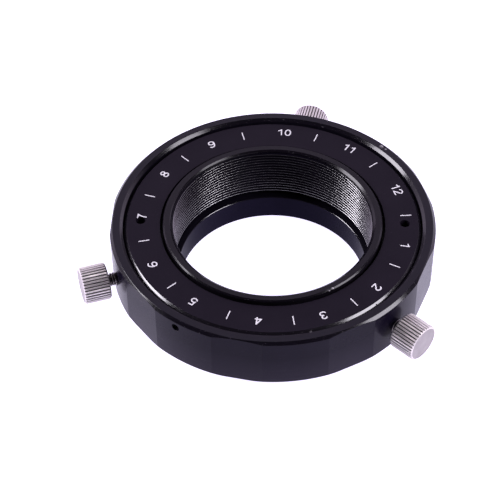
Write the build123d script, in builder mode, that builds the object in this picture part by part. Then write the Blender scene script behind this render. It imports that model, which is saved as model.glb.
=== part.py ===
from build123d import *
import os
from math import sin, cos, atan2, radians, hypot, pi

os.makedirs("parts", exist_ok=True)

# Millimetres. Z = 0 is the shoulder the nose seats against, Z runs up the optical axis.

# housing
body_r = 33.77            # radius over the lands
flat_distance = 33.38     # axis to each flat
flat_count = 9
flat_start = 18.0         # azimuth of the first flat's middle
body_bottom = 1.80
body_top = 13.71
top_chamfer = 0.60
bottom_chamfer = 0.30
inner_bevel = 0.60
dial_seat_r = 31.05       # bore the dial ring screws into
cavity_r = 29.20
floor_top = 3.30
guide_r = 22.64           # lower guide bore for the sleeve

# nose, M42 x 0.75 male
nose_r = 21.00
nose_length = 5.00
nose_bore_r = 19.79
nose_chamfer = 0.40
lip_top = 0.74
shoulder_r = 24.20

# dial ring
dial_bottom = 9.64
dial_top = 13.06
dial_bore_r = 23.30
dial_thread_r = 31.00
dial_thread_top = 11.15
dial_rim_r = 30.75
dial_chamfer = 0.55
spanner_hole_r = 1.02
spanner_hole_pitch_r = 27.40
spanner_hole_depth = 2.0
spanner_hole_angle = 359.3
engrave_depth = 0.10
tick_length = 2.42
tick_width = 0.30
numeral_height = 2.08
numeral_width = 1.48
numeral_gap = 0.10
stroke = 0.35

# rotating sleeve, M42 x 0.75 female
sleeve_top = 13.79
sleeve_r = 22.75
sleeve_chamfer = 0.30
thread_minor_r = 20.60
mouth_r = 21.30
thread_bottom = 2.07
relief_r = 21.60
sleeve_bottom = 1.24
sleeve_guide_r = 22.60
flange_r = 29.14
flange_bottom = 3.84
flange_top = 9.10
groove_bottom_r = 27.75
groove_half_top = 1.60
groove_half_bottom = 0.35

# glide washers
washer_thickness = 0.50
washer_outer_r = 28.90
lower_washer_inner_r = 22.85
upper_washer_inner_r = 23.40

# thumbscrews, M3, with swivel pads
screw_z = 6.64
screw_angles = (77.5, 197.5, 317.5)
screw_stand_off = (0.0, 0.4, 0.0)   # how far each one is backed out at rest
screw_hole_r = 1.50
shank_r = 1.45
shank_front = 29.65
head_back = 35.15
head_front = 40.75
head_r = 3.85
head_back_chamfer = 0.30
head_front_chamfer = 0.30       # along the axis
head_front_chamfer_r = 0.40     # across it
knurl_count = 36
knurl_depth = 0.26
pad_socket_r = 0.74
pad_socket_end = 31.30
pad_tip = 27.90
pad_tip_r = 0.25
pad_r = 1.30
pad_back = 29.60
pad_spigot_r = 0.70
pad_spigot_end = 31.10

# set screw that locks the dial ring
set_screw_angle = 235.7
set_screw_z = 11.71
set_screw_hole_r = 0.86
set_screw_r = 0.82
set_screw_tip = 30.80
set_screw_tip_r = 0.30
set_screw_back = 32.55
set_screw_socket = 0.42
set_screw_socket_depth = 0.60

# engraved half-division ticks: (radius, azimuth) of each tick's middle
ticks = [
    (27.81, 4.3), (27.68, 38.8), (27.54, 70.1), (27.13, 103.8),
    (26.92, 134.6), (26.98, 163.5), (26.94, 191.8), (26.96, 221.7),
    (27.13, 251.4), (27.40, 278.8), (27.49, 306.1), (27.59, 333.6),
]
# engraved numerals: text, radius and azimuth of each one's middle
numerals = [
    ("12", 28.03, 20.5), ("11", 27.98, 53.5), ("10", 27.70, 84.8), ("9", 27.12, 119.2),
    ("8", 27.16, 148.2), ("7", 27.20, 176.8), ("6", 27.16, 206.8), ("5", 27.18, 234.8),
    ("4", 27.41, 264.2), ("3", 27.62, 291.4), ("2", 27.70, 318.9), ("1", 27.97, 346.3),
]


def arc(cx, cy, rx, ry, start, end, steps):
    span = [radians(start + (end - start) * i / steps) for i in range(steps + 1)]
    return [(cx + rx * cos(t), cy + ry * sin(t)) for t in span]


def ring(cx, cy, rx, ry):
    return arc(cx, cy, rx, ry, 0, 345, 23)


six_tail = [(0.18, 0.68), (0.20, 1.09), (0.29, 1.40), (0.47, 1.69), (0.74, 1.89), (1.04, 1.91), (1.36, 1.74)]
digit_rings = {
    "0": [ring(0.74, 1.04, 0.565, 0.865)],
    "6": [ring(0.75, 0.64, 0.57, 0.47)],
    "8": [ring(0.74, 1.515, 0.47, 0.39), ring(0.74, 0.62, 0.57, 0.45)],
    "9": [ring(0.73, 1.44, 0.57, 0.47)],
}
digit_paths = {
    "1": [[(0.95, 0.17), (0.88, 1.90)], [(0.88, 1.84), (0.64, 1.63), (0.30, 1.52)]],
    "2": [arc(0.74, 1.46, 0.56, 0.45, 170, -25, 10)
          + [(1.06, 1.07), (0.54, 0.56), (0.25, 0.175), (1.31, 0.175)]],
    "3": [arc(0.71, 1.51, 0.49, 0.395, 160, -90, 10),
          arc(0.71, 0.62, 0.58, 0.445, 90, -160, 10)],
    "4": [[(1.31, 0.56), (0.18, 0.56), (1.00, 1.84)], [(1.01, 1.90), (1.01, 0.17)]],
    "5": [[(1.23, 1.905), (0.43, 1.905), (0.33, 0.94)],
          arc(0.72, 0.67, 0.58, 0.495, 140, -155, 10)],
    "6": [six_tail],
    "7": [[(0.20, 1.905), (1.33, 1.905), (0.91, 1.31), (0.67, 0.72), (0.60, 0.17)]],
    "9": [[(1.48 - x, 2.08 - y) for x, y in six_tail]],
}


def side_points(path, offset, closed):
    count = len(path)
    result = []
    for i in range(count):
        before = path[i - 1] if (closed or i > 0) else None
        after = path[(i + 1) % count] if (closed or i < count - 1) else None
        normals = []
        for a, b in ((before, path[i]), (path[i], after)):
            if a is not None and b is not None:
                length = hypot(b[0] - a[0], b[1] - a[1])
                normals.append(((a[1] - b[1]) / length, (b[0] - a[0]) / length))
        nx = sum(n[0] for n in normals)
        ny = sum(n[1] for n in normals)
        scale = len(normals) / max(nx * nx + ny * ny, 0.9)
        result.append((path[i][0] + nx * scale * offset, path[i][1] + ny * scale * offset))
    return result


def round_end(before, end, r):
    a = atan2(end[1] - before[1], end[0] - before[0])
    return [(end[0] + r * cos(a + b), end[1] + r * sin(a + b))
            for b in (pi / 3, pi / 6, 0, -pi / 6, -pi / 3)]


def stroke_outline(path, width):
    left = side_points(path, width / 2, False)
    right = side_points(path, -width / 2, False)
    return (left + round_end(path[-2], path[-1], width / 2)
            + right[::-1] + round_end(path[1], path[0], width / 2))


def place(points, text_index, text_length, radius, azimuth):
    # each digit stands on its own radius; u runs clockwise along the scale, v outwards
    shift = (text_index - (text_length - 1) / 2) * (numeral_width + numeral_gap)
    a = radians(azimuth) - shift / radius
    placed = []
    for x, y in points:
        u = x - numeral_width / 2
        v = y - numeral_height / 2
        placed.append(((radius + v) * cos(a) + u * sin(a), (radius + v) * sin(a) - u * cos(a)))
    return placed


def radial_frame(azimuth, height):
    a = radians(azimuth)
    out = (cos(a), sin(a), 0)
    along = (-sin(a), cos(a), 0)
    side = Plane(origin=(0, 0, height), x_dir=out, z_dir=along)
    across = Plane(origin=(0, 0, height), x_dir=along, z_dir=out)
    return side, across, Axis((0, 0, height), out)


# Housing with the fixed nose
with BuildPart() as housing_ring:
    with BuildSketch(Plane.XZ):
        with BuildLine():
            Polyline(
                (nose_bore_r + 0.30, -nose_length),
                (nose_r - nose_chamfer, -nose_length),
                (nose_r, -nose_length + nose_chamfer),
                (nose_r, 0),
                (shoulder_r - 0.20, 0),
                (shoulder_r, 0.20),
                (shoulder_r, body_bottom),
                (body_r - bottom_chamfer, body_bottom),
                (body_r, body_bottom + bottom_chamfer),
                (body_r, body_top - top_chamfer),
                (body_r - top_chamfer, body_top),
                (dial_seat_r + inner_bevel, body_top),
                (dial_seat_r, body_top - inner_bevel),
                (dial_seat_r, dial_bottom),
                (cavity_r, dial_bottom),
                (cavity_r, floor_top),
                (guide_r, floor_top),
                (guide_r, lip_top),
                (nose_bore_r + 0.15, lip_top),
                (nose_bore_r, lip_top - 0.15),
                (nose_bore_r, -nose_length + 0.30),
                close=True,
            )
        make_face()
    revolve(axis=Axis.Z)
    with Locations((0, 0, (body_bottom + body_top) / 2)):
        with PolarLocations(flat_distance + 2.0, flat_count, start_angle=flat_start):
            Box(4.0, 16.0, body_top - body_bottom + 2.0, mode=Mode.SUBTRACT)
    for screw_angle in screw_angles:
        side, across, axis = radial_frame(screw_angle, screw_z)
        with BuildSketch(across.offset(cavity_r - 1.0)):
            Circle(screw_hole_r)
        extrude(amount=6.0, mode=Mode.SUBTRACT)
    side, across, axis = radial_frame(set_screw_angle, set_screw_z)
    with BuildSketch(across.offset(dial_seat_r - 1.0)):
        Circle(set_screw_hole_r)
    extrude(amount=4.0, mode=Mode.SUBTRACT)
housing_ring.part.label = "housing_ring"
export_step(housing_ring.part, "parts/housing_ring.step")

# Dial ring: scale plate and threaded retaining ring in one
with BuildPart() as dial_ring:
    with BuildSketch(Plane.XZ):
        with BuildLine():
            Polyline(
                (dial_bore_r, dial_bottom),
                (dial_thread_r - 0.20, dial_bottom),
                (dial_thread_r, dial_bottom + 0.20),
                (dial_thread_r, dial_thread_top),
                (dial_rim_r, dial_thread_top),
                (dial_rim_r, dial_top - dial_chamfer),
                (dial_rim_r - dial_chamfer, dial_top),
                (dial_bore_r + 0.10, dial_top),
                (dial_bore_r, dial_top - 0.10),
                close=True,
            )
        make_face()
    revolve(axis=Axis.Z)
    with BuildSketch(Plane.XY.offset(dial_top)):
        with PolarLocations(spanner_hole_pitch_r, 2, start_angle=spanner_hole_angle):
            Circle(spanner_hole_r)
    extrude(amount=-spanner_hole_depth, mode=Mode.SUBTRACT)
    with BuildSketch(Plane.XY.offset(dial_top)):
        for tick_r, tick_angle in ticks:
            with PolarLocations(tick_r, 1, start_angle=tick_angle):
                SlotOverall(tick_length, tick_width)
        for text, text_r, text_angle in numerals:
            for index, digit in enumerate(text):
                for path in digit_rings.get(digit, []):
                    outer = side_points(path, -stroke / 2, True)
                    inner = side_points(path, stroke / 2, True)
                    Polygon(*place(outer, index, len(text), text_r, text_angle), align=None)
                    Polygon(*place(inner, index, len(text), text_r, text_angle), align=None,
                            mode=Mode.SUBTRACT)
                for path in digit_paths.get(digit, []):
                    outline = stroke_outline(path, stroke)
                    Polygon(*place(outline, index, len(text), text_r, text_angle), align=None)
    extrude(amount=-engrave_depth, mode=Mode.SUBTRACT)
dial_ring.part.label = "dial_ring"
export_step(dial_ring.part, "parts/dial_ring.step")

# Rotating sleeve
with BuildPart() as rotating_sleeve:
    with BuildSketch(Plane.XZ):
        with BuildLine():
            Polyline(
                (relief_r, sleeve_bottom),
                (sleeve_guide_r - 0.15, sleeve_bottom),
                (sleeve_guide_r, sleeve_bottom + 0.15),
                (sleeve_guide_r, flange_bottom),
                (flange_r - 0.20, flange_bottom),
                (flange_r, flange_bottom + 0.20),
                (flange_r, screw_z - groove_half_top),
                (groove_bottom_r, screw_z - groove_half_bottom),
                (groove_bottom_r, screw_z + groove_half_bottom),
                (flange_r, screw_z + groove_half_top),
                (flange_r, flange_top - 0.20),
                (flange_r - 0.20, flange_top),
                (sleeve_r, flange_top),
                (sleeve_r, sleeve_top - sleeve_chamfer),
                (sleeve_r - sleeve_chamfer, sleeve_top),
                (mouth_r, sleeve_top),
                (thread_minor_r, sleeve_top - (mouth_r - thread_minor_r)),
                (thread_minor_r, thread_bottom),
                (relief_r, thread_bottom),
                close=True,
            )
        make_face()
    revolve(axis=Axis.Z)
rotating_sleeve.part.label = "rotating_sleeve"
export_step(rotating_sleeve.part, "parts/rotating_sleeve.step")

# Glide washers above and below the sleeve's flange
with BuildPart() as lower_glide_washer:
    with BuildSketch(Plane.XY.offset(floor_top)):
        Circle(washer_outer_r)
        Circle(lower_washer_inner_r, mode=Mode.SUBTRACT)
    extrude(amount=washer_thickness)
lower_glide_washer.part.label = "lower_glide_washer"
export_step(lower_glide_washer.part, "parts/lower_glide_washer.step")

with BuildPart() as upper_glide_washer:
    with BuildSketch(Plane.XY.offset(dial_bottom - washer_thickness)):
        Circle(washer_outer_r)
        Circle(upper_washer_inner_r, mode=Mode.SUBTRACT)
    extrude(amount=washer_thickness)
upper_glide_washer.part.label = "upper_glide_washer"
export_step(upper_glide_washer.part, "parts/upper_glide_washer.step")

# Set screw in the housing wall
with BuildPart() as dial_set_screw:
    side, across, axis = radial_frame(set_screw_angle, set_screw_z)
    with BuildSketch(side):
        with BuildLine():
            Polyline(
                (set_screw_tip, 0),
                (set_screw_tip, set_screw_tip_r),
                (set_screw_tip + set_screw_r - set_screw_tip_r, set_screw_r),
                (set_screw_back - 0.10, set_screw_r),
                (set_screw_back, set_screw_r - 0.10),
                (set_screw_back, 0),
                close=True,
            )
        make_face()
    revolve(axis=axis)
    with BuildSketch(across.offset(set_screw_back)):
        RegularPolygon(set_screw_socket, 6)
    extrude(amount=-set_screw_socket_depth, mode=Mode.SUBTRACT)
dial_set_screw.part.label = "dial_set_screw"
export_step(dial_set_screw.part, "parts/dial_set_screw.step")


def make_thumbscrew(azimuth, stand_off):
    side, across, axis = radial_frame(azimuth, screw_z)
    with BuildPart() as screw:
        with BuildSketch(side):
            with BuildLine():
                Polyline(
                    (pad_socket_end + stand_off, 0),
                    (pad_socket_end + stand_off, pad_socket_r),
                    (shank_front + stand_off, pad_socket_r),
                    (shank_front + stand_off, shank_r - 0.20),
                    (shank_front + stand_off + 0.20, shank_r),
                    (head_back + stand_off, shank_r),
                    (head_back + stand_off, head_r - head_back_chamfer),
                    (head_back + stand_off + head_back_chamfer, head_r),
                    (head_front + stand_off - head_front_chamfer, head_r),
                    (head_front + stand_off, head_r - head_front_chamfer_r),
                    (head_front + stand_off, 0),
                    close=True,
                )
            make_face()
        revolve(axis=axis)
        with BuildSketch(across.offset(head_back + stand_off - 0.5)):
            with PolarLocations(head_r, knurl_count, start_angle=5.0):
                with BuildLine():
                    Polyline(
                        (-knurl_depth, 0),
                        (0.10, -knurl_depth * 0.95),
                        (0.10, knurl_depth * 0.95),
                        close=True,
                    )
                make_face()
        extrude(amount=head_front - head_back + 1.0, mode=Mode.SUBTRACT)
    return screw


def make_pad(azimuth, stand_off):
    side, across, axis = radial_frame(azimuth, screw_z)
    with BuildPart() as pad:
        with BuildSketch(side):
            with BuildLine():
                Polyline(
                    (pad_tip + stand_off, 0),
                    (pad_tip + stand_off, pad_tip_r),
                    (pad_tip + stand_off + pad_r - pad_tip_r, pad_r),
                    (pad_back + stand_off, pad_r),
                    (pad_back + stand_off, pad_spigot_r),
                    (pad_spigot_end + stand_off, pad_spigot_r),
                    (pad_spigot_end + stand_off, 0),
                    close=True,
                )
            make_face()
        revolve(axis=axis)
    return pad


# Three thumbscrews, and the swivel pad on the tip of each
thumbscrew_1 = make_thumbscrew(screw_angles[0], screw_stand_off[0])
thumbscrew_1.part.label = "thumbscrew_1"
export_step(thumbscrew_1.part, "parts/thumbscrew_1.step")

thumbscrew_2 = make_thumbscrew(screw_angles[1], screw_stand_off[1])
thumbscrew_2.part.label = "thumbscrew_2"
export_step(thumbscrew_2.part, "parts/thumbscrew_2.step")

thumbscrew_3 = make_thumbscrew(screw_angles[2], screw_stand_off[2])
thumbscrew_3.part.label = "thumbscrew_3"
export_step(thumbscrew_3.part, "parts/thumbscrew_3.step")

thumbscrew_pad_1 = make_pad(screw_angles[0], screw_stand_off[0])
thumbscrew_pad_1.part.label = "thumbscrew_pad_1"
export_step(thumbscrew_pad_1.part, "parts/thumbscrew_pad_1.step")

thumbscrew_pad_2 = make_pad(screw_angles[1], screw_stand_off[1])
thumbscrew_pad_2.part.label = "thumbscrew_pad_2"
export_step(thumbscrew_pad_2.part, "parts/thumbscrew_pad_2.step")

thumbscrew_pad_3 = make_pad(screw_angles[2], screw_stand_off[2])
thumbscrew_pad_3.part.label = "thumbscrew_pad_3"
export_step(thumbscrew_pad_3.part, "parts/thumbscrew_pad_3.step")
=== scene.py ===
from math import acos, atan, atan2, ceil, cos, degrees, floor, hypot, pi, radians, sin, sqrt, tan

import bmesh
import bpy
import numpy as np
from mathutils import Matrix, Vector


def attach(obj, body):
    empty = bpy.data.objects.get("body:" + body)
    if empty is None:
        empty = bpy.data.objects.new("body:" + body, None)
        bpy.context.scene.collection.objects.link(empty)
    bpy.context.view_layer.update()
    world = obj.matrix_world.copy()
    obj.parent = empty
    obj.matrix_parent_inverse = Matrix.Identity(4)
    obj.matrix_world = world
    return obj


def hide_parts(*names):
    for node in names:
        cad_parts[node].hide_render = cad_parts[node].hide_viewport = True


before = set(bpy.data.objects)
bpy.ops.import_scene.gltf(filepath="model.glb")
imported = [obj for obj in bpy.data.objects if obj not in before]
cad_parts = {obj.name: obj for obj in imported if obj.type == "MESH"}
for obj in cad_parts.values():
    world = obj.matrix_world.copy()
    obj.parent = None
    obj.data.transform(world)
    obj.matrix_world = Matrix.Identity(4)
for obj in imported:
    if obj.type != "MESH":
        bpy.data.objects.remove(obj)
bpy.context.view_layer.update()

MM = 0.001
TAU = 2 * pi

# ------------------------------------------------------------------ sizes, mm
BODY_R, FLAT_D, FLAT_N, FLAT_START = 33.77, 33.38, 9, 18.0
BODY_BOTTOM, BODY_TOP, TOP_CH, BOTTOM_CH, BEVEL = 1.80, 13.71, 0.60, 0.30, 0.60
SEAT_R, CAVITY_R, FLOOR_TOP, GUIDE_R = 31.05, 29.20, 3.30, 22.64
NOSE_R, NOSE_L, NOSE_BORE, LIP_TOP, SHOULDER_R = 21.00, 5.00, 19.79, 0.74, 24.20
PITCH, MAJOR_R, MINOR_R = 0.75, 21.03, 20.60
DIAL_BOTTOM, DIAL_TOP, DIAL_BORE, DIAL_THREAD_R, DIAL_THREAD_TOP = 9.64, 13.06, 23.30, 31.00, 11.15
DIAL_RIM, DIAL_CH, DIAL_CH_DROP = 30.75, 0.55, 0.43
SPANNER_R, SPANNER_PITCH, SPANNER_DEPTH, SPANNER_ANGLE = 1.02, 27.40, 2.0, 359.3
ENGRAVE = 0.10
SLEEVE_TOP, SLEEVE_R, SLEEVE_CH, MOUTH_R = 13.79, 22.75, 0.30, 21.30
THREAD_BOTTOM, RELIEF_R, SLEEVE_BOTTOM, SLEEVE_GUIDE = 2.07, 21.60, 1.24, 22.60
FLANGE_R, FLANGE_BOTTOM, FLANGE_TOP = 29.14, 3.84, 9.10
GROOVE_R, GROOVE_TOP, GROOVE_BOT = 27.75, 1.60, 0.35
SCREW_Z, SCREW_ANGLES, SCREW_OFF = 6.64, (77.5, 197.5, 317.5), (0.0, 0.4, 0.0)
SCREW_HOLE, SHANK_R, SHANK_FRONT = 1.50, 1.45, 29.65
HEAD_BACK, HEAD_FRONT, HEAD_R, HEAD_BACK_CH = 35.15, 40.75, 3.85, 0.30
HEAD_FRONT_CH, HEAD_FRONT_CH_R = 0.30, 0.40
KNURLS, KNURL_DEPTH = 36, 0.26
PAD_TIP, PAD_R, PAD_BACK, PAD_SPIGOT, PAD_SPIGOT_END = 27.90, 1.30, 29.60, 0.70, 31.10
SET_ANGLE, SET_Z, SET_HOLE, SET_R = 235.7, 11.71, 0.86, 0.82
SET_TIP, SET_TIP_R, SET_BACK = 30.80, 0.30, 32.55

TICKS = [
    (27.81, 4.3), (27.68, 38.8), (27.54, 70.1), (27.13, 103.8),
    (26.92, 134.6), (26.98, 163.5), (26.94, 191.8), (26.96, 221.7),
    (27.13, 251.4), (27.40, 278.8), (27.49, 306.1), (27.59, 333.6),
]
NUMERALS = [
    ("12", 28.03, 20.5), ("11", 27.98, 53.5), ("10", 27.70, 84.8), ("9", 27.12, 119.2),
    ("8", 27.16, 148.2), ("7", 27.20, 176.8), ("6", 27.16, 206.8), ("5", 27.18, 234.8),
    ("4", 27.41, 264.2), ("3", 27.62, 291.4), ("2", 27.70, 318.9), ("1", 27.97, 346.3),
]
TICK_L, TICK_W = 2.42, 0.30
NUM_H, NUM_W, NUM_GAP, STROKE = 2.08, 1.48, 0.10, 0.35


# ------------------------------------------------------------------ mesh tools
def rounded(points, radius=0.06, seg=3, closed=True, support=0.03, radii=None):
    """Corners turned to arcs, with a support point beyond each end so faces stay flat."""
    out = []
    n = len(points)
    for i, p in enumerate(points):
        rad = radius if radii is None or i not in radii else radii[i]
        if (not closed and i in (0, n - 1)) or rad <= 0:
            out.append(p)
            continue
        a, b = points[i - 1], points[(i + 1) % n]
        u = (a[0] - p[0], a[1] - p[1])
        v = (b[0] - p[0], b[1] - p[1])
        lu, lv = hypot(*u), hypot(*v)
        u = (u[0] / lu, u[1] / lu)
        v = (v[0] / lv, v[1] / lv)
        dot = max(-1.0, min(1.0, u[0] * v[0] + u[1] * v[1]))
        half = acos(dot) / 2
        if half > radians(88):
            out.append(p)
            continue
        t = min(rad / tan(half), 0.42 * lu, 0.42 * lv)
        r = t * tan(half)
        s = min(support, 0.06 * lu, 0.06 * lv)
        bis = (u[0] + v[0], u[1] + v[1])
        lb = hypot(*bis)
        c = (p[0] + bis[0] / lb * r / sin(half), p[1] + bis[1] / lb * r / sin(half))
        q0 = (p[0] + u[0] * t, p[1] + u[1] * t)
        q1 = (p[0] + v[0] * t, p[1] + v[1] * t)
        out.append((p[0] + u[0] * (t + s), p[1] + u[1] * (t + s)))
        a0 = atan2(q0[1] - c[1], q0[0] - c[0])
        a1 = atan2(q1[1] - c[1], q1[0] - c[0])
        d = (a1 - a0 + pi) % TAU - pi
        for k in range(seg + 1):
            w = a0 + d * k / seg
            out.append((c[0] + r * cos(w), c[1] + r * sin(w)))
        out.append((p[0] + v[0] * (t + s), p[1] + v[1] * (t + s)))
    return out


def grid(bm, columns, closed_rows, wrap=0, poles=False):
    """Quads over columns of 3-D points. The last column joins the first, `wrap` rows up."""
    vs = [[bm.verts.new(p) for p in col] for col in columns]
    m = len(columns)
    n = len(columns[0])
    for i in range(m):
        a = vs[i]
        b = vs[(i + 1) % m]
        shift = wrap if i == m - 1 else 0
        for j in range(n if closed_rows else n - 1):
            k = (j + 1) % n
            if j + 1 + shift >= n + (0 if not closed_rows else n):
                continue
            if not closed_rows and (j + shift >= n or k + shift >= n):
                continue
            quad = [a[j], b[(j + shift) % n], b[(k + shift) % n], a[k]]
            try:
                bm.faces.new(quad)
            except ValueError:
                pass
    return vs


def revolve_columns(thetas, profile, axes=None):
    """profile(theta) gives (r, h) points; axes is (origin, u, v, w), or the row's own."""
    cols = []
    for t in thetas:
        pts = profile(t) if callable(profile) else profile
        c, s = cos(t), sin(t)
        if axes is None:
            cols.append([Vector((r * c, r * s, h)) * MM for r, h in pts])
        else:
            o, u, v, w = axes
            cols.append([(o + u * (r * c) + v * (r * s) + w * h) * MM for r, h in pts])
    return cols


def thread_rows(theta, z0, low, high, crest, root, pitch, end_low, end_high, limit):
    """One column of a right-handed thread, trimmed to z low..high."""
    fracs = ((0.00, 0.14), (0.05, 0.04), (0.125, 0.0), (0.20, 0.04), (0.25, 0.14),
             (0.535, 0.93), (0.575, 1.0), (0.665, 1.0), (0.705, 0.93))
    turns = int(ceil((high - low) / pitch)) + 3
    rows = []
    for m in range(turns):
        for f, depth in fracs:
            z = z0 + pitch * (m + f + theta / TAU)
            r = crest + (root - crest) * depth
            if z <= low:
                rows.append((end_low, low))
            elif z >= high:
                rows.append((end_high, high))
            else:
                rows.append((limit(r, z), z))
    return rows


def make_object(name, bm, material, merge=2e-6, sharp=28.0):
    bmesh.ops.remove_doubles(bm, verts=bm.verts, dist=merge)
    bmesh.ops.dissolve_degenerate(bm, dist=1e-7, edges=bm.edges)
    loose = [v for v in bm.verts if not v.link_faces]
    bmesh.ops.delete(bm, geom=loose, context="VERTS")
    bmesh.ops.recalc_face_normals(bm, faces=bm.faces)
    mark(bm, sharp)
    mesh = bpy.data.meshes.new(name)
    bm.to_mesh(mesh)
    bm.free()
    obj = bpy.data.objects.new(name, mesh)
    bpy.context.scene.collection.objects.link(obj)
    obj.data.materials.append(material)
    return obj


def mark(bm, angle, extra=None):
    lim = radians(angle)
    for f in bm.faces:
        f.smooth = True
    for e in bm.edges:
        if len(e.link_faces) == 2:
            e.smooth = e.calc_face_angle(0.0) < lim and not (extra and extra(e))
        else:
            e.smooth = False


def boolean(obj, cutter, operation="DIFFERENCE", self_cut=False):
    """The boolean's result takes the object's mesh."""
    mod = obj.modifiers.new("cut", "BOOLEAN")
    mod.operation = operation
    mod.solver = "EXACT"
    mod.use_self = self_cut
    mod.object = cutter
    bpy.context.view_layer.update()
    deps = bpy.context.evaluated_depsgraph_get()
    new = bpy.data.meshes.new_from_object(obj.evaluated_get(deps))
    old = obj.data
    obj.modifiers.clear()
    obj.data = new
    bpy.data.meshes.remove(old)
    data = cutter.data
    bpy.data.objects.remove(cutter)
    bpy.data.meshes.remove(data)


def remark(obj, angle, extra=None, material=None):
    bm = bmesh.new()
    bm.from_mesh(obj.data)
    bmesh.ops.remove_doubles(bm, verts=bm.verts, dist=5e-7)
    bmesh.ops.recalc_face_normals(bm, faces=bm.faces)
    mark(bm, angle, extra)
    for f in bm.faces:
        f.material_index = 0
    bm.to_mesh(obj.data)
    bm.free()
    if material is not None:
        obj.data.materials.clear()
        obj.data.materials.append(material)


def faces_take_material(obj, material, test):
    """Faces that `test(centre_mm, normal)` picks take the given material: a turned finish, a wall or bore finish, or,
    on the screws, painted shade.
    """
    obj.data.materials.append(material)
    slot = len(obj.data.materials) - 1
    for poly in obj.data.polygons:
        if test(poly.center / MM, poly.normal):
            poly.material_index = slot


def sloped(c, n):
    return 0.30 < abs(n.z) < 0.94


def cutter_object(bm):
    bmesh.ops.recalc_face_normals(bm, faces=bm.faces)
    mesh = bpy.data.meshes.new("cutter")
    bm.to_mesh(mesh)
    bm.free()
    obj = bpy.data.objects.new("cutter", mesh)
    bpy.context.scene.collection.objects.link(obj)
    return obj


def radial_axes(angle, z):
    a = radians(angle)
    out = Vector((cos(a), sin(a), 0))
    along = Vector((-sin(a), cos(a), 0))
    return Vector((0, 0, z)), along, Vector((0, 0, 1)), out


def add_cylinder(bm, axes, r, h0, h1, n=48):
    cols = revolve_columns([TAU * i / n for i in range(n)], [(r, h0), (r, h1)], axes)
    vs = [[bm.verts.new(p) for p in c] for c in cols]
    for i in range(n):
        a, b = vs[i], vs[(i + 1) % n]
        bm.faces.new([a[0], b[0], b[1], a[1]])
    bm.faces.new([c[0] for c in vs][::-1])
    bm.faces.new([c[1] for c in vs])


# ------------------------------------------------------------------ node tools
class Nodes:
    def __init__(self, name):
        self.mat = bpy.data.materials.new(name)
        self.mat.use_nodes = True
        self.tree = self.mat.node_tree
        self.tree.nodes.clear()
        self.out = self.add("ShaderNodeOutputMaterial")
        self.bsdf = self.add("ShaderNodeBsdfPrincipled")
        self.tree.links.new(self.bsdf.outputs[0], self.out.inputs[0])

    def add(self, kind, **props):
        node = self.tree.nodes.new(kind)
        for k, v in props.items():
            setattr(node, k, v)
        return node

    def link(self, a, b):
        self.tree.links.new(a, b)

    def coords(self):
        return self.add("ShaderNodeTexCoord").outputs["Object"]

    def math(self, op, a, b=None, clamp=False):
        node = self.add("ShaderNodeMath", operation=op, use_clamp=clamp)
        for i, x in enumerate((a, b)):
            if x is None:
                continue
            if isinstance(x, (int, float)):
                node.inputs[i].default_value = x
            else:
                self.link(x, node.inputs[i])
        return node.outputs[0]

    def noise(self, vec, scale, detail=3.0, rough=0.55):
        node = self.add("ShaderNodeTexNoise")
        node.inputs["Scale"].default_value = scale
        node.inputs["Detail"].default_value = detail
        node.inputs["Roughness"].default_value = rough
        self.link(vec, node.inputs["Vector"])
        return node.outputs["Fac"]

    def remap(self, x, a, b, c, d):
        node = self.add("ShaderNodeMapRange")
        self.link(x, node.inputs["Value"])
        for i, v in zip((1, 2, 3, 4), (a, b, c, d)):
            node.inputs[i].default_value = v
        return node.outputs[0]

    def mix(self, fac, a, b):
        node = self.add("ShaderNodeMix", data_type="RGBA")
        if isinstance(fac, (int, float)):
            node.inputs[0].default_value = fac
        else:
            self.link(fac, node.inputs[0])
        for sock, x in ((node.inputs[6], a), (node.inputs[7], b)):
            if isinstance(x, tuple):
                sock.default_value = (*x, 1.0)
            else:
                self.link(x, sock)
        return node.outputs[2]

    def bump(self, height, strength, distance, normal=None):
        node = self.add("ShaderNodeBump")
        node.inputs["Strength"].default_value = strength
        node.inputs["Distance"].default_value = distance
        self.link(height, node.inputs["Height"])
        if normal is not None:
            self.link(normal, node.inputs["Normal"])
        return node.outputs[0]

    def radius(self, vec):
        """Distance from the optical axis, in metres, and the height."""
        sep = self.add("ShaderNodeSeparateXYZ")
        self.link(vec, sep.inputs[0])
        x2 = self.math("MULTIPLY", sep.outputs[0], sep.outputs[0])
        y2 = self.math("MULTIPLY", sep.outputs[1], sep.outputs[1])
        return self.math("SQRT", self.math("ADD", x2, y2)), sep


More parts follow.
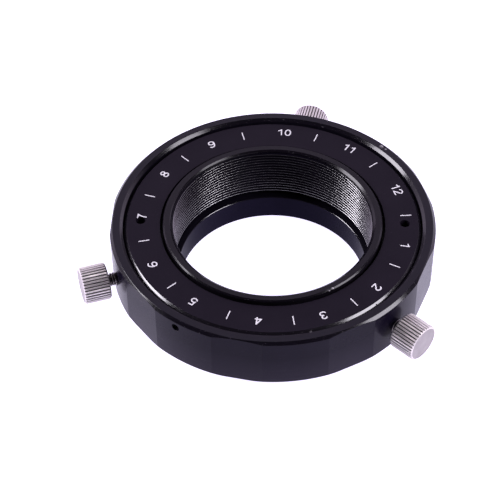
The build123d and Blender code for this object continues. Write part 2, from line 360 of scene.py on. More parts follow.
def anodised(name, base, light, rough, ior=1.25, seed=0.0, low=None, wear=0.0,
             spots=(), bumpy=1.0, nick=None):
    """Dyed satin anodising over a turned and blasted surface."""
    m = Nodes(name)
    vec = m.coords()
    move = m.add("ShaderNodeVectorMath", operation="ADD")
    m.link(vec, move.inputs[0])
    move.inputs[1].default_value = (seed, seed * 0.7, seed * 0.3)
    v = move.outputs[0]
    r, sep = m.radius(vec)
    grain = m.noise(v, 9000.0, 2.0)
    cloud = m.noise(v, 140.0, 4.0)
    # turning marks: rings about the optical axis, finer than the pitch of the threads
    ring_vec = m.add("ShaderNodeCombineXYZ")
    m.link(m.math("MULTIPLY", r, 1.0), ring_vec.inputs[0])
    m.link(m.math("MULTIPLY", sep.outputs[2], 1.0), ring_vec.inputs[1])
    rings = m.noise(ring_vec.outputs[0], 9000.0, 2.0, 0.7)
    tone = m.remap(cloud, 0.3, 0.7, 0.0, 1.0)
    colour = m.mix(tone, base, light)
    if low:  # painted light: the wall's colour turns lighter toward its bottom edge, standing in for the floor's glow below
        colour = m.mix(m.remap(sep.outputs[2], 0.0022, 0.0090, 1.0, 0.0), colour, low)
    speck = m.remap(m.noise(v, 2600.0, 1.0), 0.70, 0.78, 0.0, 0.35)
    colour = m.mix(speck, colour, tuple(c * 2.2 + 0.01 for c in light))
    if wear:  # tiny chips through to the aluminium along a turned edge
        chips = m.remap(m.noise(v, 4200.0, 2.0), 0.685, 0.73, 0.0, wear)
        colour = m.mix(chips, colour, (0.34, 0.31, 0.35))
    for x, y, z, size, strength in spots:  # single knocks, placed in millimetres
        away = m.add("ShaderNodeVectorMath", operation="DISTANCE")
        m.link(vec, away.inputs[0])
        away.inputs[1].default_value = (x * MM, y * MM, z * MM)
        near = m.remap(away.outputs["Value"], size * 0.35 * MM, size * MM, strength, 0.0)
        ragged = m.remap(m.noise(v, 3000.0, 3.0), 0.42, 0.56, 0.0, 1.0)
        colour = m.mix(m.math("MULTIPLY", near, ragged), colour, (0.55, 0.52, 0.56))
    m.link(colour, m.bsdf.inputs["Base Color"])
    if nick:  # one small dent that no longer shines, in millimetres
        x, y, z, size = nick
        away = m.add("ShaderNodeVectorMath", operation="DISTANCE")
        m.link(vec, away.inputs[0])
        away.inputs[1].default_value = (x * MM, y * MM, z * MM)
        m.link(m.remap(away.outputs["Value"], size * 0.6 * MM, size * MM, 0.0, 0.5),
               m.bsdf.inputs["Specular IOR Level"])
    rr = m.math("ADD", m.remap(cloud, 0.25, 0.75, rough - 0.03, rough + 0.03),
                m.remap(rings, 0.3, 0.7, -0.03, 0.03))
    m.link(rr, m.bsdf.inputs["Roughness"])
    m.bsdf.inputs["Metallic"].default_value = 0.0
    m.bsdf.inputs["IOR"].default_value = ior
    n1 = m.bump(grain, 0.10 * bumpy, 0.00001)
    n2 = m.bump(rings, 0.10 * bumpy, 0.000006, n1)
    m.link(n2, m.bsdf.inputs["Normal"])
    return m.mat


def metal(name, base, dark, rough, scale=1.0, metallic=1.0):
    m = Nodes(name)
    vec = m.coords()
    fine = m.noise(vec, 5200.0 * scale, 2.0)
    cloud = m.noise(vec, 500.0 * scale, 3.0)
    colour = m.mix(m.remap(cloud, 0.3, 0.7, 0.0, 1.0), base, dark)
    m.link(colour, m.bsdf.inputs["Base Color"])
    m.bsdf.inputs["Metallic"].default_value = metallic
    m.link(m.math("ADD", m.remap(cloud, 0.3, 0.7, rough - 0.05, rough + 0.05),
                  m.remap(fine, 0.3, 0.7, -0.03, 0.03)), m.bsdf.inputs["Roughness"])
    m.link(m.bump(fine, 0.12, 0.00001), m.bsdf.inputs["Normal"])
    return m.mat


def plain(name, base, other, rough, scale=800.0, bump=0.1):
    m = Nodes(name)
    vec = m.coords()
    n = m.noise(vec, scale, 4.0)
    m.link(m.mix(m.remap(n, 0.3, 0.7, 0.0, 1.0), base, other), m.bsdf.inputs["Base Color"])
    m.link(m.remap(n, 0.3, 0.7, rough - 0.06, rough + 0.06), m.bsdf.inputs["Roughness"])
    m.link(m.bump(n, bump, 0.00002), m.bsdf.inputs["Normal"])
    return m.mat


mat_housing = anodised("anodised_housing", (0.0040, 0.0030, 0.0072), (0.0054, 0.0041, 0.0092), 0.42, 1.30,
                        spots=((23.52, 22.42, 13.71, 0.55, 0.75), (24.40, 21.60, 13.71, 0.30, 0.6)))
mat_housing_edge = anodised("anodised_housing_turned", (0.0030, 0.0022, 0.0048), (0.0040, 0.0030, 0.0060), 0.16, 1.42, wear=0.30,
                             spots=((23.70, 22.60, 13.60, 0.75, 0.8), (22.40, 23.50, 13.60, 0.45, 0.7)))
# the wall's low colour is painted light: the base colour grows lighter toward the bottom edge
mat_housing_wall = anodised("anodised_housing_wall", (0.0042, 0.0031, 0.0086), (0.0054, 0.0041, 0.0106), 0.24, 1.15, low=(0.0165, 0.0138, 0.0235))
mat_housing_wall.node_tree.nodes["Principled BSDF"].inputs["Specular Tint"].default_value = (0.92, 0.84, 1.0, 1.0)
mat_dial = anodised("anodised_dial", (0.0069, 0.0049, 0.0098), (0.0086, 0.0062, 0.0118), 0.46, 1.17, seed=0.05)
mat_dial_edge = anodised("anodised_dial_turned", (0.0030, 0.0022, 0.0044), (0.0040, 0.0030, 0.0056), 0.17, 1.62, seed=0.05, wear=0.30,
                          spots=((7.56, -29.80, 12.80, 0.35, 0.9),), nick=(20.62, -22.61, 12.80, 0.21))
mat_sleeve = anodised("anodised_sleeve", (0.0042, 0.0032, 0.0058), (0.0056, 0.0044, 0.0074), 0.42, 1.28, seed=0.11)
mat_thread = anodised("anodised_thread_flank", (0.0024, 0.0017, 0.0044), (0.0032, 0.0023, 0.0056), 0.30, 1.14, seed=0.17)
mat_crest = anodised("anodised_thread_crest", (0.0026, 0.0018, 0.0040), (0.0034, 0.0024, 0.0050), 0.23, 3.00, seed=0.17,
                     bumpy=0.15, spots=((-10.45, 17.80, 6.10, 0.30, 1.0),))
mat_bore = anodised("anodised_bore", (0.0066, 0.0052, 0.0150), (0.0082, 0.0064, 0.0185), 0.34, 1.08, seed=0.23)
mat_lip_edge = anodised("anodised_lip_turned", (0.0030, 0.0022, 0.0048), (0.0040, 0.0030, 0.0060), 0.17, 1.75, seed=0.23)
mat_sleeve_edge = anodised("anodised_sleeve_turned", (0.0030, 0.0022, 0.0044), (0.0040, 0.0030, 0.0056), 0.18, 1.30, seed=0.11, wear=0.30,
                            spots=((11.30, -19.60, 13.70, 0.42, 0.9), (12.10, -19.10, 13.72, 0.28, 0.8)))
mat_paint = plain("scale_paint", (0.76, 0.75, 0.78), (0.64, 0.63, 0.66), 0.62, 3000.0, 0.25)
mat_screw = metal("screw_nickel", (0.72, 0.67, 0.66), (0.62, 0.575, 0.57), 0.38, metallic=0.62)
# painted shade: the screw's end face takes a darker copy of the nickel, toning down the light it catches
mat_face_painted_shade = metal("screw_nickel_faced", (0.345, 0.318, 0.324), (0.295, 0.272, 0.278), 0.52, metallic=0.22)
mat_face_painted_shade.node_tree.nodes["Principled BSDF"].inputs["IOR"].default_value = 1.25
# painted shade: the knurl grooves take a much darker copy of the nickel, standing in for the shade in those recesses
mat_groove_painted_shade = metal("screw_nickel_grooves", (0.075, 0.066, 0.069), (0.045, 0.039, 0.042), 0.50, metallic=0.62)
# painted shade: the shank takes a near-black copy of the screw metal, standing in for the shadow under the head and the
# dark wall reflected in it
mat_shank_painted_shade = metal("screw_shank", (0.10, 0.085, 0.09), (0.06, 0.05, 0.055), 0.36)
mat_pad = metal("pad_brass", (0.66, 0.47, 0.20), (0.58, 0.40, 0.16), 0.35)
mat_oxide = metal("set_screw_oxide", (0.05, 0.05, 0.055), (0.035, 0.035, 0.04), 0.42)
mat_ptfe = plain("washer_ptfe", (0.86, 0.86, 0.83), (0.80, 0.80, 0.78), 0.5, 600.0, 0.1)


# ------------------------------------------------------------------ housing
half_flat = acos(FLAT_D / BODY_R)
flat_mid = [radians(FLAT_START + 360.0 / FLAT_N * k) for k in range(FLAT_N)]
housing_thetas = []
for k in range(FLAT_N):
    a, b = flat_mid[k] - half_flat, flat_mid[k] + half_flat
    c = flat_mid[k] + TAU / FLAT_N - half_flat
    housing_thetas += [a + (b - a) * i / 12 for i in range(12)]
    housing_thetas += [b + (c - b) * i / 16 for i in range(16)]


def flat_radius(t):
    best = BODY_R
    for mid in flat_mid:
        d = (t - mid + pi) % TAU - pi
        if abs(d) < half_flat:
            best = min(best, FLAT_D / cos(d))
    return best


def housing_profile(t):
    rf = flat_radius(t)
    top_r, low_r = BODY_R - TOP_CH, BODY_R - BOTTOM_CH
    pts = [
        (20.45, -0.60), (20.45, 0.0),
        (SHOULDER_R - 0.20, 0.0), (SHOULDER_R, 0.20), (SHOULDER_R, BODY_BOTTOM),
        (min(low_r, rf - 0.05), BODY_BOTTOM), (rf, BODY_BOTTOM + max(0.05, rf - low_r)),
        (rf, BODY_TOP - (rf - top_r)), (top_r, BODY_TOP),
        (SEAT_R + BEVEL, BODY_TOP), (SEAT_R, BODY_TOP - BEVEL),
        (SEAT_R, DIAL_BOTTOM), (CAVITY_R, DIAL_BOTTOM), (CAVITY_R, FLOOR_TOP),
        (GUIDE_R, FLOOR_TOP), (GUIDE_R, LIP_TOP),
        (NOSE_BORE, LIP_TOP), (NOSE_BORE, -NOSE_L), (20.54, -NOSE_L),
    ]
    radii = {1: 0.05, 5: 0.08, 6: 0.08, 7: 0.10, 8: 0.10, 9: 0.07, 10: 0.07, 16: 0.16, 17: 0.25}
    return rounded(pts, 0.05, 3, closed=False, radii=radii)


def nose_thread(t):
    limit = lambda r, z: min(r, 20.60 + (z + NOSE_L))
    return thread_rows(t, -NOSE_L - 1.1 * PITCH, -NOSE_L, -0.60, NOSE_R, 20.54, PITCH,
                       20.54, 20.45, limit)


bm = bmesh.new()
grid(bm, revolve_columns(housing_thetas, housing_profile), False)
base = housing_thetas[0]
grid(bm, revolve_columns(housing_thetas, lambda t: nose_thread(t - base)), False, wrap=9)
housing = make_object("housing_body", bm, mat_housing)
bm = bmesh.new()
for ang in SCREW_ANGLES:
    add_cylinder(bm, radial_axes(ang, SCREW_Z), SCREW_HOLE, CAVITY_R - 1.0, BODY_R + 1.0, 48)
add_cylinder(bm, radial_axes(SET_ANGLE, SET_Z), SET_HOLE, SEAT_R - 0.8, BODY_R + 1.0, 40)
boolean(housing, cutter_object(bm))
flat_edges = [(m + s * half_flat) % TAU for m in flat_mid for s in (-1, 1)]


def on_flat_edge(e):
    for v in e.verts:
        x, y = v.co.x / MM, v.co.y / MM
        if hypot(x, y) < 33.2:
            return False
        t = atan2(y, x) % TAU
        if min(abs((t - f + pi) % TAU - pi) for f in flat_edges) > 0.0005:
            return False
    return abs(e.verts[0].co.z - e.verts[1].co.z) > 0.01 * MM


remark(housing, 28.0, on_flat_edge, mat_housing)
faces_take_material(housing, mat_housing_edge, sloped)
faces_take_material(housing, mat_housing_wall, lambda c, n: abs(n.z) < 0.30 and hypot(c.x, c.y) > 33.0)
faces_take_material(housing, mat_bore, lambda c, n: abs(n.z) < 0.30 and hypot(c.x, c.y) < 22.0)
faces_take_material(housing, mat_lip_edge, lambda c, n: 0.30 < n.z < 0.94 and hypot(c.x, c.y) < 22.6)
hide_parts("housing_ring")
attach(housing, "housing")

# ------------------------------------------------------------------ strokes of the scale
def arc(cx, cy, rx, ry, start, end, steps):
    return [(cx + rx * cos(radians(start + (end - start) * i / steps)),
             cy + ry * sin(radians(start + (end - start) * i / steps))) for i in range(steps + 1)]


def oval(cx, cy, rx, ry):
    return arc(cx, cy, rx, ry, 0, 350, 35)


six_tail = [(0.18, 0.68), (0.20, 1.09), (0.29, 1.40), (0.47, 1.69), (0.74, 1.89), (1.04, 1.91), (1.36, 1.74)]
RINGS = {
    "0": [oval(0.74, 1.04, 0.565, 0.865)],
    "6": [oval(0.75, 0.64, 0.57, 0.47)],
    "8": [oval(0.74, 1.515, 0.47, 0.39), oval(0.74, 0.62, 0.57, 0.45)],
    "9": [oval(0.73, 1.44, 0.57, 0.47)],
}
PATHS = {
    "1": [[(0.95, 0.17), (0.88, 1.90)], [(0.88, 1.84), (0.64, 1.63), (0.30, 1.52)]],
    "2": [arc(0.74, 1.46, 0.56, 0.45, 170, -25, 16) + [(1.06, 1.07), (0.54, 0.56), (0.25, 0.175), (1.31, 0.175)]],
    "3": [arc(0.71, 1.51, 0.49, 0.395, 160, -90, 16), arc(0.71, 0.62, 0.58, 0.445, 90, -160, 16)],
    "4": [[(1.31, 0.56), (0.18, 0.56), (1.00, 1.84)], [(1.01, 1.90), (1.01, 0.17)]],
    "5": [[(1.23, 1.905), (0.43, 1.905), (0.33, 0.94)], arc(0.72, 0.67, 0.58, 0.495, 140, -155, 16)],
    "6": [six_tail],
    "7": [[(0.20, 1.905), (1.33, 1.905), (0.91, 1.31), (0.67, 0.72), (0.60, 0.17)]],
    "9": [[(1.48 - x, 2.08 - y) for x, y in six_tail]],
}


def side_points(path, offset, closed):
    n = len(path)
    res = []
    for i in range(n):
        prev = path[i - 1] if closed or i > 0 else None
        nxt = path[(i + 1) % n] if closed or i < n - 1 else None
        ns = []
        for a, b in ((prev, path[i]), (path[i], nxt)):
            if a is not None and b is not None:
                l = hypot(b[0] - a[0], b[1] - a[1])
                ns.append(((a[1] - b[1]) / l, (b[0] - a[0]) / l))
        nx, ny = sum(q[0] for q in ns), sum(q[1] for q in ns)
        s = len(ns) / max(nx * nx + ny * ny, 0.9)
        res.append((path[i][0] + nx * s * offset, path[i][1] + ny * s * offset))
    return res


def capped(path, w):
    """A stroke outline with rounded ends."""
    def cap(p, q):
        a = atan2(p[1] - q[1], p[0] - q[0])
        return [(p[0] + w * cos(a + b), p[1] + w * sin(a + b)) for b in (pi / 3, pi / 6, 0, -pi / 6, -pi / 3)]
    left = side_points(path, w, False)
    right = side_points(path, -w, False)
    return left + cap(path[-1], path[-2]) + right[::-1] + cap(path[0], path[1])


def to_dial(points, index, count, radius, azimuth):
    """Each digit stands on its own radius; u runs clockwise along the scale, v outwards."""
    a = radians(azimuth) - (index - (count - 1) / 2) * (NUM_W + NUM_GAP) / radius
    res = []
    for x, y in points:
        u, v = x - NUM_W / 2, y - NUM_H / 2
        res.append(((radius + v) * cos(a) + u * sin(a), (radius + v) * sin(a) - u * cos(a)))
    return res


def scale_outlines(shrink):
    """(outer, inner or None) outlines of every stroke, thinner by `shrink` a side."""
    res = []
    for rad, ang in TICKS:
        half = TICK_L / 2 - TICK_W / 2
        line = [(NUM_W / 2, NUM_H / 2 - half), (NUM_W / 2, NUM_H / 2 + half)]
        res.append((to_dial(capped(line, TICK_W / 2 - shrink), 0, 1, rad, ang), None))
    for text, rad, ang in NUMERALS:
        for i, d in enumerate(text):
            w = STROKE / 2 - shrink
            for path in RINGS.get(d, []):
                res.append((to_dial(side_points(path, -w, True), i, len(text), rad, ang),
                            to_dial(side_points(path, w, True), i, len(text), rad, ang)))
            for path in PATHS.get(d, []):
                res.append((to_dial(capped(path, w), i, len(text), rad, ang), None))
    return res


def add_prism(bm, outer, inner, z0, z1):
    def loop(pts, z):
        return [bm.verts.new((x * MM, y * MM, z * MM)) for x, y in pts]
    o0, o1 = loop(outer, z0), loop(outer, z1)
    n = len(outer)
    for i in range(n):
        j = (i + 1) % n
        bm.faces.new([o0[i], o0[j], o1[j], o1[i]])
    if inner is None:
        bm.faces.new(o0[::-1])
        bm.faces.new(o1)
    else:
        i0, i1 = loop(inner, z0), loop(inner, z1)
        for i in range(n):
            j = (i + 1) % n
            bm.faces.new([i0[j], i0[i], i1[i], i1[j]])
            bm.faces.new([o0[j], o0[i], i0[i], i0[j]])
            bm.faces.new([o1[i], o1[j], i1[j], i1[i]])


# ------------------------------------------------------------------ dial ring
round_thetas = [TAU * i / 288 for i in range(288)]
dial_pts = [
    (DIAL_BORE, DIAL_BOTTOM), (DIAL_THREAD_R - 0.20, DIAL_BOTTOM), (DIAL_THREAD_R, DIAL_BOTTOM + 0.20),
    (DIAL_THREAD_R, DIAL_THREAD_TOP), (DIAL_RIM, DIAL_THREAD_TOP), (DIAL_RIM, DIAL_TOP - DIAL_CH_DROP),
    (DIAL_RIM - DIAL_CH, DIAL_TOP), (DIAL_BORE, DIAL_TOP),
]
dial_profile = rounded(dial_pts, 0.05, 3, radii={5: 0.08, 6: 0.08, 7: 0.10})
bm = bmesh.new()
grid(bm, revolve_columns(round_thetas, dial_profile), True)
dial = make_object("dial_plate", bm, mat_dial)
bm = bmesh.new()
for outer, inner in scale_outlines(0.0):
    add_prism(bm, outer, inner, DIAL_TOP - ENGRAVE, DIAL_TOP + 0.15)
for k in range(2):
    a = radians(SPANNER_ANGLE + 180 * k)
    at = Vector((SPANNER_PITCH * cos(a), SPANNER_PITCH * sin(a), 0))
    axes = (at, Vector((1, 0, 0)), Vector((0, 1, 0)), Vector((0, 0, 1)))
    add_cylinder(bm, axes, SPANNER_R, DIAL_TOP - SPANNER_DEPTH, DIAL_TOP + 0.5, 40)
boolean(dial, cutter_object(bm), self_cut=True)
remark(dial, 28.0, material=mat_dial)
faces_take_material(dial, mat_dial_edge, lambda c, n: sloped(c, n) and hypot(c.x, c.y) > 30.0)
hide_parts("dial_ring")
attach(dial, "housing")

# white filling of the engraving
bm = bmesh.new()
for outer, inner in scale_outlines(0.042):
    add_prism(bm, outer, inner, DIAL_TOP - ENGRAVE + 0.002, DIAL_TOP - 0.015)
infill = cutter_object(bm)
infill.name = infill.data.name = "dial_scale_infill"
bm = bmesh.new()
add_cylinder(bm, None, 33.0, DIAL_TOP - 0.5, DIAL_TOP + 0.5, 24)
for k in range(2):
    pass
boolean(infill, cutter_object(bm), "INTERSECT", self_cut=True)
bm = bmesh.new()
for k in range(2):
    a = radians(SPANNER_ANGLE + 180 * k)
    at = Vector((SPANNER_PITCH * cos(a), SPANNER_PITCH * sin(a), 0))
    axes = (at, Vector((1, 0, 0)), Vector((0, 1, 0)), Vector((0, 0, 1)))
    add_cylinder(bm, axes, SPANNER_R, DIAL_TOP - SPANNER_DEPTH, DIAL_TOP + 0.5, 40)
boolean(infill, cutter_object(bm))
remark(infill, 28.0, material=mat_paint)
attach(infill, "housing")

# ------------------------------------------------------------------ rotating sleeve
def sleeve_thread(t):
    limit = lambda r, z: max(r, MOUTH_R - (SLEEVE_TOP - z))
    return thread_rows(t, THREAD_BOTTOM - 1.1 * PITCH, THREAD_BOTTOM, SLEEVE_TOP, MINOR_R, MAJOR_R, PITCH,
                       RELIEF_R, MOUTH_R, limit)


sleeve_pts = [
    (MOUTH_R, SLEEVE_TOP), (SLEEVE_R - SLEEVE_CH, SLEEVE_TOP), (SLEEVE_R, SLEEVE_TOP - SLEEVE_CH),
    (SLEEVE_R, FLANGE_TOP), (FLANGE_R - 0.20, FLANGE_TOP), (FLANGE_R, FLANGE_TOP - 0.20),
    (FLANGE_R, SCREW_Z + GROOVE_TOP), (GROOVE_R, SCREW_Z + GROOVE_BOT), (GROOVE_R, SCREW_Z - GROOVE_BOT),
    (FLANGE_R, SCREW_Z - GROOVE_TOP), (FLANGE_R, FLANGE_BOTTOM + 0.20), (FLANGE_R - 0.20, FLANGE_BOTTOM),
    (SLEEVE_GUIDE, FLANGE_BOTTOM), (SLEEVE_GUIDE, SLEEVE_BOTTOM + 0.15), (SLEEVE_GUIDE - 0.15, SLEEVE_BOTTOM),
    (RELIEF_R, SLEEVE_BOTTOM), (RELIEF_R, THREAD_BOTTOM),
]
sleeve_profile = rounded(sleeve_pts, 0.05, 3, closed=False, radii={1: 0.08, 2: 0.08})
bm = bmesh.new()
grid(bm, revolve_columns(round_thetas, sleeve_profile), False)
grid(bm, revolve_columns(round_thetas, sleeve_thread), False, wrap=9)
sleeve = make_object("sleeve_threaded", bm, mat_sleeve)
faces_take_material(sleeve, mat_sleeve_edge, lambda c, n: sloped(c, n) and c.z > SLEEVE_TOP - 0.45)
faces_take_material(sleeve, mat_thread, lambda c, n: hypot(c.x, c.y) < 21.7 and c.z < SLEEVE_TOP - 0.45)
faces_take_material(sleeve, mat_crest, lambda c, n: hypot(c.x, c.y) < MINOR_R + 0.05 and c.z < SLEEVE_TOP - 0.45 and n.z > 0.15)
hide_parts("rotating_sleeve")
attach(sleeve, "sleeve")

# ------------------------------------------------------------------ glide washers
for name, inner, low in (("lower_glide_washer", 22.85, FLOOR_TOP), ("upper_glide_washer", 23.40, DIAL_BOTTOM - 0.50)):
    pts = [(inner, low), (28.90, low), (28.90, low + 0.50), (inner, low + 0.50)]
    bm = bmesh.new()
    grid(bm, revolve_columns(round_thetas, rounded(pts, 0.08, 3)), True)
    obj = make_object(name + "_ptfe", bm, mat_ptfe)
    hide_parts(name)
    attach(obj, "housing")

# ------------------------------------------------------------------ thumbscrews and pads
def knurl_radius(q):
    d = abs(q - 0.71) / 0.29
    return HEAD_R - (KNURL_DEPTH * (1 - d) if d < 1 else 0.0)


knurl_phases = (0.0, 0.03, 0.20, 0.39, 0.42, 0.56, 0.675, 0.71, 0.745, 0.86)
screw_thetas, screw_knurl = [], {}
for k in range(KNURLS):
    for q in knurl_phases:
        t = TAU * (k + q) / KNURLS
        screw_thetas.append(t)
        screw_knurl[round(t, 9)] = knurl_radius(q)
        if q in (0.0, 0.42):
            screw_knurl[round(t, 9)] = HEAD_R - 0.03

for i in range(3):
    off = SCREW_OFF[i]
    axes = radial_axes(SCREW_ANGLES[i], SCREW_Z)

    def head(t):
        rk = screw_knurl[round(t, 9)]
        rb, rfr = HEAD_R - HEAD_BACK_CH, HEAD_R - HEAD_FRONT_CH_R
        pts = [
            (1.19, 34.70 + off), (1.15, 34.80 + off), (1.15, HEAD_BACK + off),
            (rb, HEAD_BACK + off), (rk, HEAD_BACK + off + (rk - rb)),
            (rk, HEAD_FRONT + off - HEAD_FRONT_CH * (rk - rfr) / HEAD_FRONT_CH_R), (rfr, HEAD_FRONT + off), (0.0, HEAD_FRONT + off),
        ]
        return rounded(pts, 0.05, 2, closed=False, support=0.02, radii={1: 0, 4: 0.04, 5: 0.05, 6: 0.07})

    front = SHANK_FRONT + off
    socket = rounded([(0.0, 31.30 + off), (0.74, 31.30 + off), (0.74, front), (1.19, front)], 0.03, 2, closed=False)
    bm = bmesh.new()
    grid(bm, revolve_columns(screw_thetas, head, axes), False)
    grid(bm, revolve_columns(screw_thetas, socket, axes), False)
    limit = lambda r, h: min(r, 1.22 + (h - front))
    grid(bm, revolve_columns(screw_thetas, lambda t: thread_rows(
        t, front - 0.55, front, 34.70 + off, SHANK_R, 1.19, 0.5, 1.19, 1.19, limit), axes), False, wrap=9)
    screw = make_object("thumbscrew_%d_knurled" % (i + 1), bm, mat_screw, sharp=24.0)
    heading = Vector((cos(radians(SCREW_ANGLES[i])), sin(radians(SCREW_ANGLES[i])), 0.0))

    def reach_and_radius(c):
        w = c - Vector((0.0, 0.0, SCREW_Z))
        return w.dot(heading) - off, (w - w.dot(heading) * heading).length

    def in_groove(c, n):
        h, r = reach_and_radius(c)
        return HEAD_BACK + 0.35 < h < HEAD_FRONT - 0.35 and HEAD_R * 0.6 < r < HEAD_R - 0.42 * KNURL_DEPTH

    def on_shank(c, n):
        h, r = reach_and_radius(c)
        return h < HEAD_BACK - 0.03 and r < 1.40

    # the knurl grooves take the painted-shade nickel
    faces_take_material(screw, mat_groove_painted_shade, in_groove)
    # the shank takes the painted-shade metal
    faces_take_material(screw, mat_shank_painted_shade, on_shank)
    # the end face takes the painted-shade nickel
    faces_take_material(screw, mat_face_painted_shade, lambda c, n: reach_and_radius(c)[0] > HEAD_FRONT - 0.05)
    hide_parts("thumbscrew_%d" % (i + 1))
    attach(screw, "screw_%d" % (i + 1))

    pts = [
        (0.0, PAD_TIP + off), (0.25, PAD_TIP + off), (PAD_R, PAD_TIP + off + PAD_R - 0.25),
        (PAD_R, PAD_BACK + off), (PAD_SPIGOT, PAD_BACK + off), (PAD_SPIGOT, PAD_SPIGOT_END + off),
        (0.0, PAD_SPIGOT_END + off),
    ]
    bm = bmesh.new()
    grid(bm, revolve_columns([TAU * k / 64 for k in range(64)], rounded(pts, 0.05, 3, closed=False), axes), False)
    pad = make_object("thumbscrew_pad_%d_tip" % (i + 1), bm, mat_pad)
    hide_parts("thumbscrew_pad_%d" % (i + 1))
    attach(pad, "pad_%d" % (i + 1))

# ------------------------------------------------------------------ set screw
set_axes = radial_axes(SET_ANGLE, SET_Z)


def set_profile(t):
    hexagon = 0.36 / cos((t + pi / 6) % (pi / 3) - pi / 6)
    pts = [
        (0.0, SET_TIP), (SET_TIP_R, SET_TIP), (SET_R, SET_TIP + SET_R - SET_TIP_R),
        (SET_R, SET_BACK - 0.10), (SET_R - 0.10, SET_BACK), (hexagon, SET_BACK), (hexagon, SET_BACK - 0.55),
        (0.0, SET_BACK - 0.75),
    ]
    return rounded(pts, 0.03, 2, closed=False)


bm = bmesh.new()
grid(bm, revolve_columns([TAU * k / 96 for k in range(96)], set_profile, set_axes), False)
set_screw = make_object("dial_set_screw_hex", bm, mat_oxide)
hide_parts("dial_set_screw")
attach(set_screw, "housing")

# ------------------------------------------------------------------ floor, light, camera
floor_z = -NOSE_L * MM
bm = bmesh.new()
n, reach = 40, 1.5
vs = [[bm.verts.new(((i / n * 2 - 1) * reach, (j / n * 2 - 1) * reach, floor_z)) for j in range(n + 1)] for i in range(n + 1)]
for i in range(n):
    for j in range(n):
        bm.faces.new([vs[i][j], vs[i + 1][j], vs[i + 1][j + 1], vs[i][j + 1]])
mat_floor = plain("pale_floor", (0.55, 0.55, 0.55), (0.54, 0.54, 0.54), 0.85, 30.0, 0.0)
floor_shader = mat_floor.node_tree.nodes["Principled BSDF"]
floor_shader.inputs["Emission Color"].default_value = (0.81, 0.76, 1.0, 1.0)
floor_shader.inputs["Emission Strength"].default_value = 1.30
stage_floor = make_object("floor", bm, mat_floor)

world = bpy.data.worlds.new("studio")
bpy.context.scene.world = world
world.use_nodes = True
wt = world.node_tree
wt.nodes.clear()


def wnode(kind, **props):
    node = wt.nodes.new(kind)
    for k, v in props.items():
        setattr(node, k, v)
    return node


def wramp(x, a, b, c, d):
    node = wnode("ShaderNodeMapRange", interpolation_type="SMOOTHSTEP")
    wt.links.new(x, node.inputs["Value"])
    for i, v in zip((1, 2, 3, 4), (a, b, c, d)):
        node.inputs[i].default_value = v
    return node.outputs[0]


def wmath(op, a, b):
    node = wnode("ShaderNodeMath", operation=op)
    for i, x in enumerate((a, b)):
        if isinstance(x, (int, float)):
            node.inputs[i].default_value = x
        else:
            wt.links.new(x, node.inputs[i])
    return node.outputs[0]


WORLD_DARK, WORLD_BACK = 0.045, 1.16
sky = wnode("ShaderNodeSeparateXYZ")
wt.links.new(wnode("ShaderNodeTexCoord").outputs["Generated"], sky.inputs[0])
back_low = wmath("MULTIPLY", wramp(sky.outputs[1], 0.05, 0.60, 0.0, WORLD_BACK),
                 wramp(sky.outputs[2], 0.62, 0.78, 1.0, 0.0))
sky_level = wmath("ADD", back_low, WORLD_DARK)
lit = wnode("ShaderNodeBackground")
lit.inputs[0].default_value = (1.08, 0.92, 1.22, 1.0)
wt.links.new(sky_level, lit.inputs[1])
seen = wnode("ShaderNodeBackground")
seen.inputs[0].default_value = (1.0, 1.0, 1.0, 1.0)
choose = wnode("ShaderNodeMixShader")
wt.links.new(wnode("ShaderNodeLightPath").outputs["Is Camera Ray"], choose.inputs[0])
wt.links.new(lit.outputs[0], choose.inputs[1])
wt.links.new(seen.outputs[0], choose.inputs[2])
wt.links.new(choose.outputs[0], wnode("ShaderNodeOutputWorld").inputs[0])


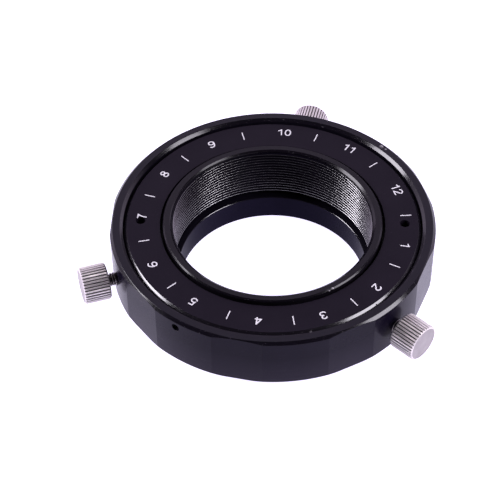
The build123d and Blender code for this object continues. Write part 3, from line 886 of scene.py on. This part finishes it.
def area(name, place, target, size, power, colour=(1, 1, 1)):
    light = bpy.data.lights.new(name, "AREA")
    light.shape = "RECTANGLE"
    light.size, light.size_y = size
    light.energy = power
    light.color = colour
    obj = bpy.data.objects.new(name, light)
    bpy.context.scene.collection.objects.link(obj)
    d = Vector(place) - Vector(target)
    obj.matrix_world = Matrix.Translation(Vector(place)) @ d.to_track_quat("Z", "Y").to_matrix().to_4x4()
    return obj


def softbox(name, azimuth, elevation, distance, size, radiance, colour):
    a, e = radians(azimuth), radians(elevation)
    place = (distance * cos(e) * cos(a), distance * cos(e) * sin(a), 0.012 + distance * sin(e))
    return area(name, place, (0, 0, 0.012), size, radiance * pi * size[0] * size[1], colour)


softbox("softbox_left", 175, 29, 0.350, (0.150, 0.120), 20.0, (1.0, 0.95, 1.06))
softbox("softbox_right", 340, 32, 0.260, (0.105, 0.130), 13.0, (1.0, 0.95, 1.06))
softbox("softbox_overhead", 90, 79, 0.700, (0.260, 0.260), 3.0, (1.0, 0.97, 1.03))

# the photograph's view
U = 31.0 * MM
focal, dist, elev = 1640.0, 10.98328, radians(45.36592)
roll, ax, ay = radians(0.173521), -22.43438, -26.6781
C = np.array([0.0, -dist * cos(elev), dist * sin(elev)])
fwd = -C / np.linalg.norm(C)
right = np.array([1.0, 0.0, 0.0])
up = np.cross(right, fwd)
ry, rx = atan(ax / focal), atan(ay / focal)
f2 = fwd * cos(ry) * cos(rx) + right * sin(ry) * cos(rx) + up * sin(rx)
f2 /= np.linalg.norm(f2)
r2 = np.cross(f2, up)
r2 /= np.linalg.norm(r2)
u2 = np.cross(r2, f2)
R = cos(roll) * r2 + sin(roll) * u2
V = -sin(roll) * r2 + cos(roll) * u2
cam = bpy.data.cameras.new("camera")
cam.sensor_width = 36.0
cam.sensor_fit = "HORIZONTAL"
cam.lens = focal * 36.0 / 500.0
cam.clip_start, cam.clip_end = 0.01, 10.0
camera = bpy.data.objects.new("camera", cam)
bpy.context.scene.collection.objects.link(camera)
place = C * U + np.array([0.0, 0.0, 12.64 * MM])
camera.matrix_world = Matrix((
    (R[0], V[0], -f2[0], place[0]),
    (R[1], V[1], -f2[1], place[1]),
    (R[2], V[2], -f2[2], place[2]),
    (0, 0, 0, 1)))
bpy.context.scene.camera = camera
bpy.context.scene.view_settings.view_transform = "Standard"
